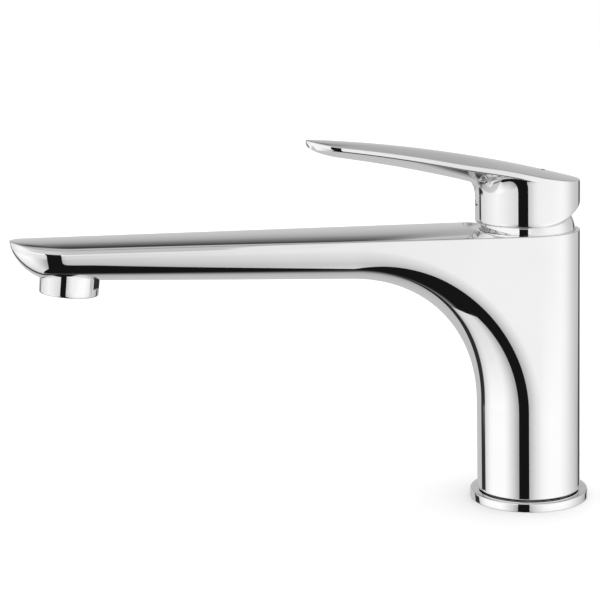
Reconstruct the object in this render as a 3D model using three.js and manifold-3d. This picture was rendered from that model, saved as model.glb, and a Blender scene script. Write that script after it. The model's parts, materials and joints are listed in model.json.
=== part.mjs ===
// Single-lever bathroom mixer faucet with a long cast spout.
// Millimetres, +Z up. Origin: centre of the underside of the base ring, where it meets the deck.
// The spout and the lever point along -Y. The model is symmetric about X = 0 when the lever is centred.
import * as THREE from 'three';
import { ParametricGeometry } from 'three/addons/geometries/ParametricGeometry.js';
import { mergeVertices } from 'three/addons/utils/BufferGeometryUtils.js';
import Module from 'manifold-3d';

// ---- driving dimensions ----
const COLUMN_R = 25;              // outer radius of the column
const COLUMN_Z = 5;               // underside of the column, just above the base ring
const RIM_Z = 132.7;              // top edge of the column
const TOP_RISE = 0.0115;          // rise of the spout's top edge per mm of reach
const SPOUT_END = 245.3;          // axis of the column to the tip of the spout
const NOSE_TOP = 219;             // reach where the top outline starts to round off
const NOSE_UNDER = 227;           // reach where the underside starts to curve up to the tip
const TAPER = 0.032;              // side taper of the spout, each side
const CROWN = 2.9;                // height of the spout's crown over its top edges
const BEND_Z = 47.7;              // height where the column starts to bend into the spout
const BEND_END = 87.2;            // reach where the bend has become the straight spout
const UNDER_Z = 110.9;            // height of the underside line at the column
const UNDER_RISE = 0.036;         // rise of the underside per mm
const UNDER_CURVE = 0.308e-4;     // slow upward curve of the underside per mm squared
const BEND_POWER = 2.14;          // roundness of the bend, 2 is an ellipse
const SIDE_POWER = 2.97;          // fullness of the spout's sides, 2 is an ellipse
const NOSE_POWER = 1.76;          // roundness of the tip seen from the side
const SEAT_R = 29;                // flat seat around the cartridge

const RING_R = 28.6;              // base ring
const RING_TOP = 4.4;
const SPIGOT_R = 17;
const SPIGOT_BORE_R = 13.5;
const COLUMN_BORE_R = 19;
const LEDGE_Z = 46;               // ledge in the column that the retaining clip holds down
const GAP = 0.3;                  // clearance between touching pieces

const CHAMBER_FLOOR = 95.8;       // cartridge chamber
const CHAMBER_R = 17.8;
const THREAD_R = 20.1;
const THREAD_Z = 123;
const CARTRIDGE_R = 17.4;
const PIVOT_Z = 124;              // height of the lever's pivot pin
const PIN_R = 1.5;
const BALL_R = 2.4;               // ball on the stem's lower end, which drives the moving disc
const DISC_OFFSET = 2;            // moving disc sits this far back when the tap is shut
const BALL_Z = 114.4;

const OUTLET_REACH = 219.4;       // centre of the aerator's mouth
const OUTLET_Z = 112.2;
const OUTLET_TILT = 7 * Math.PI / 180;
const AERATOR_R = 14;
const AERATOR_COLLAR = 13.2;      // height of the visible collar
const FLAT_HALF = 13.55;          // half the distance across the collar's two spanner flats
const FLAT_TURN = 67;             // degrees from +X to the first flat
const FLAT_FOOT = 3.8;            // the flats start this far above the mouth

const LEVER_END = 106;            // axis to the tip of the lever
const LEVER_NOSE = 90;            // reach where the lever's outline rounds off
const LEVER_TAPER = 0.1675;
const LEVER_BAND = 2.9;           // height of the lever's side band at the column
const LEVER_BAND_TAPER = 0.009;
const SKIRT_Z = 137;              // lower edge of the handle's skirt
const SKIRT_BORE_R = 22.9;
const SKIRT_RELIEF_R = 36;        // radius of the relief at the back of the skirt
const CAVITY_Z = 147.5;           // roof of the cavity in the handle
const STEM_HALF = 4.25;           // half width of the square stem
const SCREW_Z = 150.3;            // axis of the set screw and of its plug
const PLUG_R = 4.7;
const PLUG_FACE = 24.55;

const wasm = await Module();
wasm.setup();

// ---- materials ----
function metal(colour, roughness) {
  return new THREE.MeshStandardMaterial({ color: colour, roughness, metalness: 1 });
}
function plain(colour, roughness) {
  return new THREE.MeshStandardMaterial({ color: colour, roughness, metalness: 0 });
}
const finish = {
  chrome: () => metal(0xd9dce0, 0.06),
  steel: () => metal(0xa9adb0, 0.35),
  brass: () => metal(0xb8965a, 0.4),
  rubber: () => plain(0x1c1c1e, 0.8),
  plastic: () => plain(0xe4e4e0, 0.5),
  acetal: () => plain(0x3c4248, 0.45),
  ceramic: () => plain(0xf3f0ea, 0.2),
};

// ---- solids ----
function toSolid(geometry) {
  const bare = geometry.index ? geometry.toNonIndexed() : geometry.clone();
  bare.deleteAttribute('normal');
  bare.deleteAttribute('uv');
  const merged = mergeVertices(bare, 1e-4);
  const index = merged.index.array;
  const triangles = [];
  for (let i = 0; i < index.length; i += 3) {
    const [a, b, c] = [index[i], index[i + 1], index[i + 2]];
    if (a !== b && b !== c && c !== a) triangles.push(a, b, c);
  }
  const build = (order) => new wasm.Manifold(new wasm.Mesh({
    numProp: 3,
    vertProperties: new Float32Array(merged.attributes.position.array),
    triVerts: new Uint32Array(order),
  }));
  const solid = build(triangles);
  if (solid.volume() > 0) return solid;
  const flipped = [];
  for (let i = 0; i < triangles.length; i += 3) {
    flipped.push(triangles[i], triangles[i + 2], triangles[i + 1]);
  }
  return build(flipped);
}

function toGeometry(solid) {
  const mesh = solid.getMesh();
  const geometry = new THREE.BufferGeometry();
  geometry.setAttribute('position', new THREE.BufferAttribute(new Float32Array(mesh.vertProperties), 3));
  geometry.setIndex(new THREE.BufferAttribute(new Uint32Array(mesh.triVerts), 1));
  return geometry;
}

// A turned solid from [radius, height] points; the profile closes on itself or ends on the axis.
function turned(points, segments = 28) {
  const profile = points.map(([r, z]) => new THREE.Vector2(r, z));
  if (points[0][0] > 0) profile.push(profile[0].clone());
  const geometry = new THREE.LatheGeometry(profile, segments);
  return toSolid(geometry.rotateX(Math.PI / 2));
}

function ring(inner, outer, z0, z1, segments = 28) {
  return turned([[inner, z0], [outer, z0], [outer, z1], [inner, z1]], segments);
}

function disc(radius, z0, z1, segments = 24) {
  return turned([[0, z0], [radius, z0], [radius, z1], [0, z1]], segments);
}

function discAt(x, y, radius, z0, z1, segments = 14) {
  return disc(radius, z0, z1, segments).translate([x, y, 0]);
}

// A round bar or hole along X or Y.
function barX(radius, x0, x1, y, z, segments = 14) {
  return toSolid(new THREE.CylinderGeometry(radius, radius, x1 - x0, segments).rotateZ(Math.PI / 2))
    .translate([(x0 + x1) / 2, y, z]);
}
function barY(radius, y0, y1, x, z, segments = 14) {
  return toSolid(new THREE.CylinderGeometry(radius, radius, y1 - y0, segments))
    .translate([x, (y0 + y1) / 2, z]);
}

function box(x0, x1, y0, y1, z0, z1) {
  return toSolid(new THREE.BoxGeometry(x1 - x0, y1 - y0, z1 - z0))
    .translate([(x0 + x1) / 2, (y0 + y1) / 2, (z0 + z1) / 2]);
}

// A prism over a plan outline of [x, y] points.
function prism(points, z0, z1) {
  const shape = new THREE.Shape(points.map(([x, y]) => new THREE.Vector2(x, y)));
  return toSolid(new THREE.ExtrudeGeometry(shape, { depth: z1 - z0, bevelEnabled: false }))
    .translate([0, 0, z0]);
}

// A prism from x = -half to half over a side outline of [reach, height] points.
function sidePrism(points, half) {
  return prism(points.map(([s, z]) => [s, z]), -half, half).rotate([90, 0, 0]).rotate([0, 0, -90]);
}

// A round passage through [reach, height] points in the plane X = x.
function passage(points, radius, x = 0) {
  const path = new THREE.CatmullRomCurve3(points.map(([s, z]) => new THREE.Vector3(x, -s, z)));
  const section = new THREE.Shape().absarc(0, 0, radius, 0, 2 * Math.PI, true);
  const options = { steps: 18, extrudePath: path, curveSegments: 5, bevelEnabled: false };
  return toSolid(new THREE.ExtrudeGeometry(section, options));
}

// ---- outer shape of the casting, as functions of the reach s = -y ----
const mix = (a, b, t) => a + (b - a) * t;
const clamp01 = (t) => Math.min(1, Math.max(0, t));
const smooth = (t) => clamp01(t) ** 2 * (3 - 2 * clamp01(t));
const roundOff = (t, power) => Math.max(0, 1 - clamp01(t) ** power) ** (1 / power);

const topEdge = (s) => RIM_Z + TOP_RISE * s;
const underLine = (s) => UNDER_Z + UNDER_RISE * (s - COLUMN_R) + UNDER_CURVE * (s - COLUMN_R) ** 2;
const fullWidth = (s) => COLUMN_R - TAPER * (Math.hypot(s, 20) - 20);
const topWidth = (s) => fullWidth(s) * roundOff((s - NOSE_TOP) / (SPOUT_END - NOSE_TOP), 2);

function underside(s) {
  const t = (s - NOSE_UNDER) / (SPOUT_END - NOSE_UNDER);
  return mix(underLine(s), topEdge(SPOUT_END) + CROWN, 1 - roundOff(t, NOSE_POWER));
}
const crownAt = (s, x) => topEdge(s) + CROWN * (1 - (x / fullWidth(s)) ** 2);

// Each section of the casting runs from the inner line (column front, bend, underside) to the
// outer line (middle of the column, top edge). From there to the corner the side is flat.
function columnSection(t) {
  const z = mix(COLUMN_Z, BEND_Z, t);
  return { inner: [COLUMN_R, z], outer: [0, z], corner: [0, z], width: COLUMN_R, edge: COLUMN_R, power: 2 };
}
function bendSection(angle, corner) {
  const s = BEND_END - (BEND_END - COLUMN_R) * Math.cos(angle) ** (2 / BEND_POWER);
  const rise = (UNDER_Z - BEND_Z) * Math.sin(angle) ** (2 / BEND_POWER);
  const reach = BEND_END * (1 - Math.cos(angle));
  return {
    inner: [s, BEND_Z + rise + underLine(s) - UNDER_Z],
    outer: [reach, mix(BEND_Z, topEdge(BEND_END), Math.sin(angle))],
    corner,
    width: fullWidth(reach),
    edge: fullWidth(corner[0]),
    power: mix(2, SIDE_POWER, Math.sin(angle) ** 2),
  };
}
function spoutSection(s) {
  const width = topWidth(s);
  const edge = [s, crownAt(s, width)];
  const inner = [s, Math.min(underside(s), edge[1])];
  return { inner, outer: edge, corner: edge, width, edge: width, power: SIDE_POWER };
}

function castingSections() {
  const rows = [columnSection(0), columnSection(0.5)];
  const low = 12;
  const high = 7;
  for (let i = 0; i <= low; i++) {
    rows.push(bendSection(i / (low + high) * Math.PI / 2, [0, mix(BEND_Z, RIM_Z, i / low)]));
  }
  for (let i = 1; i < high; i++) {
    const s = BEND_END * i / high;
    rows.push(bendSection((low + i) / (low + high) * Math.PI / 2, [s, topEdge(s)]));
  }
  for (let i = 0; i < 9; i++) rows.push(spoutSection(mix(BEND_END, NOSE_TOP, i / 9)));
  for (let i = 0; i <= 12; i++) {
    rows.push(spoutSection(mix(NOSE_TOP, SPOUT_END, Math.sin(i / 12 * Math.PI / 2))));
  }
  return rows;
}

// One half of a section's closed outline; v runs from the inner line (0) to the far side (1).
function sectionPoint(line, v) {
  const side = 0.55;
  const flat = 0.65;
  if (v < side) {
    const f = Math.cos(v / side * Math.PI / 2);
    const x = line.width * Math.sqrt(Math.max(0, 1 - f ** line.power));
    return [x, mix(line.outer[0], line.inner[0], f), mix(line.outer[1], line.inner[1], f)];
  }
  if (v < flat) {
    const t = (v - side) / (flat - side);
    const x = mix(line.width, line.edge, t);
    return [x, mix(line.outer[0], line.corner[0], t), mix(line.outer[1], line.corner[1], t)];
  }
  const t = (v - flat) / (1 - flat);
  const [s, z] = line.corner;
  if (s > 0) return [line.edge * (1 - t), s, crownAt(s, line.edge * (1 - t))];
  const turn = t * Math.PI / 2;
  return [COLUMN_R * Math.cos(turn), -COLUMN_R * Math.sin(turn), z];
}

function castingSkin() {
  const sections = castingSections();
  const rows = sections.length;
  const columns = 32;
  const place = (u, v, target) => {
    const row = Math.round(u * rows);
    if (row === 0) return target.set(0, 0, COLUMN_Z);
    const half = v <= 0.5 ? 2 * v : 2 - 2 * v;
    const [x, s, z] = sectionPoint(sections[row - 1], half);
    return target.set(v <= 0.5 ? x : -x, -s, z);
  };
  return toSolid(new ParametricGeometry(place, rows, columns));
}

// ---- aerator frame: local +Z runs up the outlet's axis from the centre of its mouth ----
function atOutlet(solid) {
  return solid.rotate([-OUTLET_TILT * 180 / Math.PI, 0, 0]).translate([0, -OUTLET_REACH, OUTLET_Z]);
}

// ---- fixed to the deck ----
function baseRing() {
  const body = turned([[17.3, 0], [RING_R - 0.4, 0], [RING_R, 0.4], [RING_R, RING_TOP - 0.6],
    [RING_R - 0.6, RING_TOP], [22.4, RING_TOP], [22.4, 1.7], [17.3, 1.7]], 48);
  return body.subtract(ring(23, 26.4, -1, 1.5));
}
const baseGasket = () => ring(23.3, 26.1, 0.2, 1.2);

function baseSpigot() {
  const tube = turned([[SPIGOT_BORE_R, 0.4], [SPIGOT_R, 0.4], [SPIGOT_R, 2], [22.1, 2], [22.1, 3.2],
    [SPIGOT_R, 3.2], [SPIGOT_R, 49], [15.8, 49], [15.8, 51], [SPIGOT_R, 51], [SPIGOT_R, 53.4], [16.4, 54],
    [SPIGOT_BORE_R, 54]]);
  const reach = 70 * Math.PI / 180;
  const arc = [[0, 0]];
  for (let i = 0; i <= 12; i++) {
    const a = mix(-reach, reach, i / 12);
    arc.push([22 * Math.sin(a), 22 * Math.cos(a)]);
  }
  return tube.subtract(prism(arc, 27, 33));
}
const swivelWasher = () => ring(17.4, 22.1, 3.5, 4.7);
const bush = (z) => ring(17.3, 18.7, z, z + 8);
function swivelORing() {
  const profile = [];
  for (let i = 0; i < 8; i++) {
    const a = i / 8 * 2 * Math.PI;
    profile.push([18 + 0.7 * Math.cos(a), 20 + 0.7 * Math.sin(a)]);
  }
  return turned(profile);
}
const retainingClip = () => ring(16.1, 18.6, 49.3, 50.6).subtract(box(-5, 5, -20, -10, 48, 52));

// ---- turning on the spigot ----
function mixerBody() {
  let body = castingSkin();
  body = body.subtract(disc(SEAT_R, RIM_Z, RIM_Z + 8, 48));
  body = body.subtract(turned([[0, 0], [COLUMN_BORE_R, 0], [COLUMN_BORE_R, LEDGE_Z], [17.3, LEDGE_Z],
    [17.3, 49], [COLUMN_BORE_R, 49], [COLUMN_BORE_R, 78], [13, 84], [0, 84]]));
  body = body.subtract(turned([[0, CHAMBER_FLOOR], [CHAMBER_R, CHAMBER_FLOOR], [CHAMBER_R, THREAD_Z],
    [THREAD_R, THREAD_Z], [THREAD_R, 131.2], [22.8, 131.2], [22.8, 150], [0, 150]], 40));
  for (const x of [-7, 7]) {
    body = body.subtract(discAt(x, 3.5, 4.6, 76, 91));
    body = body.subtract(discAt(x, 3.5, 3.2, 90, 97));
  }
  body = body.subtract(waterway());
  body = body.subtract(atOutlet(disc(AERATOR_R + GAP, -4, AERATOR_COLLAR + GAP, 36)));
  body = body.subtract(atOutlet(disc(12, 10, 19.4, 28)));
  return body.subtract(barY(2.7, 18, 30, 0, 30));
}
// From the cartridge through the bend and along the spout to the outlet, with a wide cored stretch.
function waterway() {
  const entry = passage([[8, 98], [10, 92], [22, 92], [42, 106], [66, 119], [100, 124],
    [160, 125.5], [212, 126]], 4.2);
  const core = sidePrism([[24, 101], [36, 101], [50, 109], [60, 114], [75, 117], [90, 118.5],
    [203, 123], [203, 130.5], [60, 128.5], [24, 127]], 12);
  return entry.add(core);
}
function swivelStopScrew() {
  const screw = barY(2.4, 15.2, 24.4, 0, 30);
  const socket = toSolid(new THREE.CylinderGeometry(1.4, 1.4, 3, 6)).translate([0, 24.4, 30]);
  return screw.subtract(socket);
}

const INLETS = [[-7, 3.5, 3.2], [7, 3.5, 3.2]];
const OUTLET_PORT = [0, -8, 3.6];
const PORTS = [...INLETS, OUTLET_PORT];

function cutPorts(solid, extra, z0, z1) {
  return PORTS.reduce((body, [x, y, r]) => body.subtract(discAt(x, y, r + extra, z0, z1)), solid);
}
function cartridgeBase() {
  const recess = disc(13.8, 90, 97.7);
  return cutPorts(disc(CARTRIDGE_R, 96.1, 103, 28).subtract(recess), 0, 90, 110);
}
const portSeal = () => cutPorts(disc(13.5, 96.1, 97.4), 0.2, 90, 110);
const fixedCeramicDisc = () => cutPorts(disc(14, 103.3, 107.3), 0, 100, 110);
function cartridgeHousing() {
  return turned([[15.1, 103.3], [CARTRIDGE_R, 103.3], [CARTRIDGE_R, 122.4], [16, 124.5], [11, 124.5],
    [11, 122], [15.1, 122]], 28);
}
const temperatureStop = () => ring(11.6, 13.2, 124.8, 127.2).subtract(box(-3, 3, -20, 0, 120, 130));
function cartridgeNut() {
  const nut = turned([[13.6, 124.8], [19.8, 124.8], [19.8, 131], [17.9, 131], [17.9, 137], [13.6, 137]], 36);
  const notch = box(-2.2, 2.2, -30, 30, 134.9, 140);
  return [0, 60, 120].reduce((body, turn) => body.subtract(notch.rotate([0, 0, turn])), nut);
}

// Radius of the dome at height z.
const domeRadius = (z) => 22.55 * (1 - ((z - 131) / 15.6) ** 2.6) ** (1 / 2.6);
function domeCap() {
  const outer = [];
  for (let i = 0; i <= 5; i++) {
    const z = mix(131.5, 141.5, i / 5);
    outer.push([domeRadius(z), z]);
  }
  return turned([[20.4, 131.5], ...outer, [16.6, 141.5], [16.6, 139.9], [18.3, 138.6], [20.4, 135]], 48);
}
const domeORing = () => ring(18.2, 20.1, 131.4, 133);

function aeratorHousing() {
  const shell = turned([[11.5, 0], [AERATOR_R - 0.6, 0], [AERATOR_R, 0.6], [AERATOR_R, AERATOR_COLLAR],
    [11.7, AERATOR_COLLAR], [11.7, 18], [9.4, 18], [9.4, 16.6], [11.5, 15.6]], 40);
  const flat = box(FLAT_HALF, AERATOR_R + 2, -20, 20, FLAT_FOOT, AERATOR_COLLAR + 1);
  const turns = [FLAT_TURN, FLAT_TURN + 180];
  return atOutlet(turns.reduce((body, turn) => body.subtract(flat.rotate([0, 0, turn])), shell));
}
function aeratorInsert() {
  const shape = new THREE.Shape().absarc(0, 0, 11.2, 0, 2 * Math.PI);
  for (let ringNumber = 0; ringNumber <= 2; ringNumber++) {
    const count = ringNumber === 0 ? 1 : 6 * ringNumber;
    for (let i = 0; i < count; i++) {
      const a = i / count * 2 * Math.PI;
      const reach = 4.1 * ringNumber;
      const hole = new THREE.Path();
      hole.absarc(reach * Math.cos(a), reach * Math.sin(a), 1.6, 0, 2 * Math.PI, true);
      shape.holes.push(hole);
    }
  }
  const geometry = new THREE.ExtrudeGeometry(shape, { depth: 6, bevelEnabled: false, curveSegments: 5 });
  return atOutlet(toSolid(geometry).translate([0, 0, 1.2]));
}
const aeratorScreen = () => atOutlet(disc(11.2, 8, 8.6).subtract(disc(9, 7, 8.3)));
const aeratorGasket = () => atOutlet(ring(8.8, 11.6, 18.3, 19.1));

// ---- turning in the cartridge ----
function cartridgeRotor() {
  const body = turned([[0, 115.7], [14.8, 115.7], [14.8, 121.6], [10.6, 121.6], [10.6, 129], [0, 129]]);
  return body.subtract(box(-4.6, 4.6, -6.7, 7, 110, 132)).subtract(barX(PIN_R + GAP, -12, 12, 0, PIVOT_Z));
}
const pivotPin = () => barX(PIN_R, -10.2, 10.2, 0, PIVOT_Z);

// ---- tilting on the pin ----
function leverStem() {
  const square = box(-STEM_HALF, STEM_HALF, -STEM_HALF, STEM_HALF, 120.5, 154);
  const neck = disc(1.7, BALL_Z, 121, 14);
  const ball = toSolid(new THREE.SphereGeometry(BALL_R, 14, 8)).translate([0, 0, BALL_Z]);
  return square.add(neck).add(ball).subtract(barX(PIN_R + GAP, -12, 12, 0, PIVOT_Z));
}

// Outer shape of the lever, as functions of the reach s = -y.
const leverRidge = (s) => 162.9 + 0.245 * s - 0.00082 * s * s;
const leverFullWidth = (s) => COLUMN_R - LEVER_TAPER * (Math.hypot(Math.max(0, s), 15) - 15);
const leverCrown = (s) => leverFullWidth(s) * mix(0.10, 0.155, smooth((s - 8) / 32));
const leverTop = (s, x) => leverRidge(s) - leverCrown(s) * (x / leverFullWidth(s)) ** 2;
const leverWidth = (s) => leverFullWidth(s) * roundOff((s - LEVER_NOSE) / (LEVER_END - LEVER_NOSE), 2);
const leverBand = (s) => LEVER_BAND - LEVER_BAND_TAPER * Math.max(0, s);
const leverKeel = (s) => (11.5 - 0.064 * s) * roundOff((s - LEVER_NOSE) / (LEVER_END - LEVER_NOSE), 2);

// Plan outline of the handle: v = 0 at the lever's tip, 0.5 at the back of the skirt.
function handleOutline(v) {
  const half = v <= 0.5 ? 2 * v : 2 - 2 * v;
  const side = v <= 0.5 ? 1 : -1;
  if (half > 0.6) {
    const a = (half - 0.6) / 0.4 * Math.PI / 2;
    return [side * COLUMN_R * Math.cos(a), -COLUMN_R * Math.sin(a)];
  }
  if (half > 0.25) {
    const s = mix(LEVER_NOSE, 0, (half - 0.25) / 0.35);
    return [side * leverWidth(s), s];
  }
  const s = mix(LEVER_NOSE, LEVER_END, Math.cos(half / 0.25 * Math.PI / 2));
  return [side * leverWidth(s), s];
}

// Down one side of the handle: top centre, top edge, side band, underside, skirt wall, skirt's lower edge.
function handleSkin() {
  const rows = 22;
  const columns = 56;
  const place = (u, v, target) => {
    const row = Math.round(u * rows);
    const [x, s] = handleOutline(v);
    const wall = Math.min(1, COLUMN_R / Math.hypot(x, s));
    if (row <= 10) {
      const t = row / 10;
      return target.set(x * t, -s * t, leverTop(s * t, x * t));
    }
    if (row <= 19) {
      const t = mix(1, wall, (row - 11) / 8);
      const fade = s > 0 ? clamp01((Math.hypot(x, s) - COLUMN_R) / 6) : 0;
      const width = Math.max(leverFullWidth(s * t), 1e-6);
      const dip = fade * leverKeel(s * t) * (1 - Math.min(1, Math.abs(x * t) / width) ** 1.6);
      return target.set(x * t, -s * t, leverTop(s * t, x) - leverBand(s * t) - (t < 1 ? dip : 0));
    }
    if (row === 20) return target.set(x * wall, -s * wall, SKIRT_Z);
    return target.set(0, 0, SKIRT_Z);
  };
  return toSolid(new ParametricGeometry(place, rows - 1, columns));
}

function skirtRelief() {
  const shape = new THREE.Shape();
  shape.moveTo(0, SKIRT_Z);
  for (let i = 1; i <= 10; i++) {
    const s = 2.9 * i;
    shape.lineTo(s, SKIRT_Z + SKIRT_RELIEF_R - Math.sqrt(SKIRT_RELIEF_R ** 2 - s ** 2));
  }
  shape.lineTo(29, 130);
  shape.lineTo(0, 130);
  const block = new THREE.ExtrudeGeometry(shape, { depth: 60, bevelEnabled: false });
  return toSolid(block.translate(0, 0, -30).rotateY(Math.PI / 2).rotateX(Math.PI / 2));
}

function handle() {
  let body = handleSkin();
  const cavity = turned([[0, 130], [SKIRT_BORE_R, 130], [SKIRT_BORE_R, 144], [19, CAVITY_Z],
    [0, CAVITY_Z]], 48);
  const hub = disc(7.6, 145, 149);
  body = body.subtract(cavity.subtract(hub));
  const socket = STEM_HALF + GAP;
  body = body.subtract(box(-socket, socket, -socket, socket, 140, 154.6));
  body = body.subtract(barY(2.5, -27, -4, 0, SCREW_Z));
  body = body.subtract(barY(PLUG_R + GAP, -27, -23, 0, SCREW_Z, 28));
  body = body.subtract(indexDotBlank(1.5, 3));
  return body.subtract(skirtRelief());
}
function handleScrew() {
  const screw = barY(2.2, -14, -4.9, 0, SCREW_Z);
  const socket = toSolid(new THREE.CylinderGeometry(1.3, 1.3, 3, 6)).translate([0, -14, SCREW_Z]);
  return screw.subtract(socket);
}
const screwPlug = () => barY(PLUG_R, -PLUG_FACE, -23.3, 0, SCREW_Z, 28);
function indexDotBlank(radius, height) {
  const y = 7.6;
  return disc(radius, -0.9, -0.9 + height, 16).rotate([-14, 0, 0]).translate([0, y, leverRidge(-y)]);
}

// ---- sliding under the rotor ----
function discDriver() {
  const body = disc(12.4, 111.9, 115.3).translate([0, DISC_OFFSET, 0]);
  return body.subtract(disc(BALL_R + GAP + 0.1, 105, 120, 16));
}
function movingCeramicDisc() {
  const body = disc(12.6, 107.6, 111.6).translate([0, DISC_OFFSET, 0]);
  return body.subtract(disc(8.2, 106, 110).translate([0, 0.6 + DISC_OFFSET, 0]));
}

// ---- assembly ----
const faucet = new THREE.Group();

function add(group, name, solid, material) {
  const mesh = new THREE.Mesh(toGeometry(solid), material);
  mesh.name = name;
  group.add(mesh);
}

function deckParts() {
  const group = new THREE.Group();
  add(group, 'base_ring', baseRing(), finish.chrome());
  add(group, 'base_gasket', baseGasket(), finish.rubber());
  add(group, 'base_spigot', baseSpigot(), finish.brass());
  add(group, 'swivel_washer', swivelWasher(), finish.plastic());
  add(group, 'lower_bush', bush(7), finish.plastic());
  add(group, 'upper_bush', bush(36), finish.plastic());
  add(group, 'swivel_o_ring', swivelORing(), finish.rubber());
  add(group, 'retaining_clip', retainingClip(), finish.steel());
  return group;
}

function bodyParts() {
  const group = new THREE.Group();
  add(group, 'mixer_body', mixerBody(), finish.chrome());
  add(group, 'swivel_stop_screw', swivelStopScrew(), finish.steel());
  add(group, 'cartridge_base', cartridgeBase(), finish.acetal());
  add(group, 'port_seal', portSeal(), finish.rubber());
  add(group, 'fixed_ceramic_disc', fixedCeramicDisc(), finish.ceramic());
  add(group, 'cartridge_housing', cartridgeHousing(), finish.acetal());
  add(group, 'temperature_stop', temperatureStop(), finish.plastic());
  add(group, 'cartridge_nut', cartridgeNut(), finish.brass());
  add(group, 'dome_cap', domeCap(), finish.chrome());
  add(group, 'dome_o_ring', domeORing(), finish.rubber());
  add(group, 'aerator_housing', aeratorHousing(), finish.chrome());
  add(group, 'aerator_insert', aeratorInsert(), finish.acetal());
  add(group, 'aerator_screen', aeratorScreen(), finish.steel());
  add(group, 'aerator_gasket', aeratorGasket(), finish.rubber());
  return group;
}

function leverParts() {
  const group = new THREE.Group();
  add(group, 'cartridge_rotor', cartridgeRotor(), finish.acetal());
  add(group, 'pivot_pin', pivotPin(), finish.steel());
  add(group, 'lever_stem', leverStem(), finish.brass());
  add(group, 'handle', handle(), finish.chrome());
  add(group, 'handle_screw', handleScrew(), finish.steel());
  add(group, 'screw_plug', screwPlug(), finish.plastic());
  add(group, 'index_dot', indexDotBlank(1.2, 0.9), finish.acetal());
  add(group, 'disc_driver', discDriver(), finish.acetal());
  add(group, 'moving_ceramic_disc', movingCeramicDisc(), finish.ceramic());
  return group;
}

faucet.add(deckParts(), bodyParts(), leverParts());
export default faucet;
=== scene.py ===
"""Looks of the single-lever bathroom mixer faucet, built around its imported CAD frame.

Shapes are worked out in millimetres from the CAD part's driving dimensions, with rounded edges, a
fuller crown on the spout and a sharper keel under the lever, and written to the meshes in metres. s is
the reach of a point, measured from the column's axis towards the tips of the spout and the lever, so
s = -y.
"""
import json
import math

import bmesh
import bpy
import numpy as np
from mathutils import Matrix, Vector


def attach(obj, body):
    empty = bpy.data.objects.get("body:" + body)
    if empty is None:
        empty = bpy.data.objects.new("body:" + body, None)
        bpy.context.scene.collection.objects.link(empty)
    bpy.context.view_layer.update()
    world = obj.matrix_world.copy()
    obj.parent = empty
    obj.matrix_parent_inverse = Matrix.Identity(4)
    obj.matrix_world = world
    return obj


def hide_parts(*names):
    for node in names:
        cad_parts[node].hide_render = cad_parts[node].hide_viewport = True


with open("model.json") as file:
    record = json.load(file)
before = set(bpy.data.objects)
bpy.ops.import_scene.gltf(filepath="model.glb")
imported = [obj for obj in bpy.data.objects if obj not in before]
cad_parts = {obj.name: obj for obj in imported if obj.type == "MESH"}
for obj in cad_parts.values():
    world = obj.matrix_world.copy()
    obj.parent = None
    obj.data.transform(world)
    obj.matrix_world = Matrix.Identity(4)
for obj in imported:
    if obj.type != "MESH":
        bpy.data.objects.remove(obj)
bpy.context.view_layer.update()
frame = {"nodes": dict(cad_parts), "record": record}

MM = 0.001
SHARP_ANGLE = math.radians(35)
QUARTER_TURN = math.pi / 2

# ---- driving dimensions of the casting ----
COLUMN_R = 25.0
COLUMN_Z = 5.0
COLUMN_RINGS = [12, 24, 36]     # heights of the sections between the foot and the bend
RIM_Z = 132.7           # height of the top edge at the column, and its rise towards the tip
TOP_RISE = 0.0115
SPOUT_END = 245.3
SPOUT_SPINE = 200.0     # reach up to which the spout's outline is taken to face its middle line
NOSE_TOP = 219.0        # reach where the tip's rounding starts, seen from above and from below
NOSE_UNDER = 227.0
TAPER = 0.032           # loss of half the width per millimetre of reach, and how gently it starts
TAPER_EASE = 20.0
CROWN = 2.9             # height of the crown over the top edges
CROWN_POWER = 2.5       # its fullness, 2 is a parabola
BEND_Z = 47.7           # height where the bend leaves the column, and reach where it ends
BEND_END = 87.2
UNDER_Z = 110.9         # height, slope and curve of the spout's underside
UNDER_RISE = 0.036
UNDER_CURVE = 0.308e-4
BEND_POWER = 2.14       # roundness of the bend, 2 is an ellipse
SIDE_POWER = 2.97       # fullness of the spout's sides, 2 is an ellipse
NOSE_POWER = 1.76       # roundness of the tip seen from the side
SIDE_SHARE = 0.85       # share of a section's points that go to its rounded side
EDGE_R = 0.5            # rounding of the casting's top edge
FACET = 1.8             # height of the narrow facet below that edge
FACET_IN = 0.5          # how far the facet leans in along the spout; upright at the column
FACET_START = 60.0      # reach where it starts to lean, and the run to its full lean
FACET_RUN = 110.0
SEAT_R = 28.8           # level seat around the dome, which then rises to the crown
SEAT_RUN = 2.0
RIM_DROP = EDGE_R + FACET
POCKET_R = 22.8         # pocket that the dome stands in, with a narrow lip around it
POCKET_Z = 131.2
POCKET_LIP = 0.3
RAY_RUN = 50.0          # the top's rings crowd towards the pocket on rays that reach this far past it
THREAD_R = 20.1
THREAD_Z = 123.0
CHAMBER_R = 17.8
CHAMBER_Z = 95.8
FOOT = 0.4              # height of the rounding at the column's foot
BORE_R = 19.0           # bore for the hoses, which tapers shut at its top
BORE_TAPER_Z = 78.0
BORE_TAPER_R = 13.0
BORE_TOP = 84.0

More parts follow.
